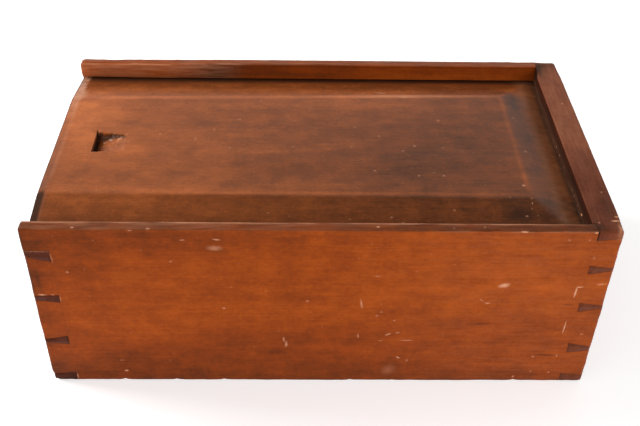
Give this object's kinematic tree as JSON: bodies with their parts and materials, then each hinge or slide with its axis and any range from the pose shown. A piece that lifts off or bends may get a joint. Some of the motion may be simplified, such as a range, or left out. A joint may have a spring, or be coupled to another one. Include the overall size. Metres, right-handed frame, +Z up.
{
  "type": "slide-lid wooden box",
  "caption": "Dovetailed wooden box whose fielded lid slides in grooves and out over a lower end board, pushed by a thumb in a wedge-cut notch.",
  "frame": {"origin": "on the ground, at the middle of the box's footprint", "axes": "+X along the length, from the low end that the lid leaves by to the high end; +Y from the front board to the back board; +Z up"},
  "size_m": [0.381, 0.2126, 0.142],
  "materials": {
    "side_wood": "old shellac over stained softwood, worn and dented, satin to gloss",
    "end_wood": "old shellac, dark end grain on the pins, satin",
    "lid_wood": "old shellac, hand planed, dark patches and pale dents, satin",
    "bottom_wood": "bare aged wood, unfinished",
    "nail_iron": "dark oxidised wrought iron"
  },
  "bodies": {
    "box": {"front_side": "side_wood", "back_side": "side_wood", "left_end": "end_wood", "right_end": "end_wood", "bottom_board": "bottom_wood", "bottom_nail_01": "nail_iron", "bottom_nail_02": "nail_iron", "bottom_nail_03": "nail_iron", "bottom_nail_04": "nail_iron", "bottom_nail_05": "nail_iron", "bottom_nail_06": "nail_iron", "bottom_nail_07": "nail_iron", "bottom_nail_08": "nail_iron", "bottom_nail_09": "nail_iron", "bottom_nail_10": "nail_iron", "bottom_nail_11": "nail_iron", "bottom_nail_12": "nail_iron", "bottom_nail_13": "nail_iron", "bottom_nail_14": "nail_iron", "bottom_nail_15": "nail_iron", "bottom_nail_16": "nail_iron"},
    "lid": {"sliding_lid": "lid_wood"}
  },
  "joints": [
    {"name": "lid_slide", "type": "slide", "parent": "box", "child": "lid", "axis": [-1, 0, 0], "range_m": [0, 0.375]}
  ]
}
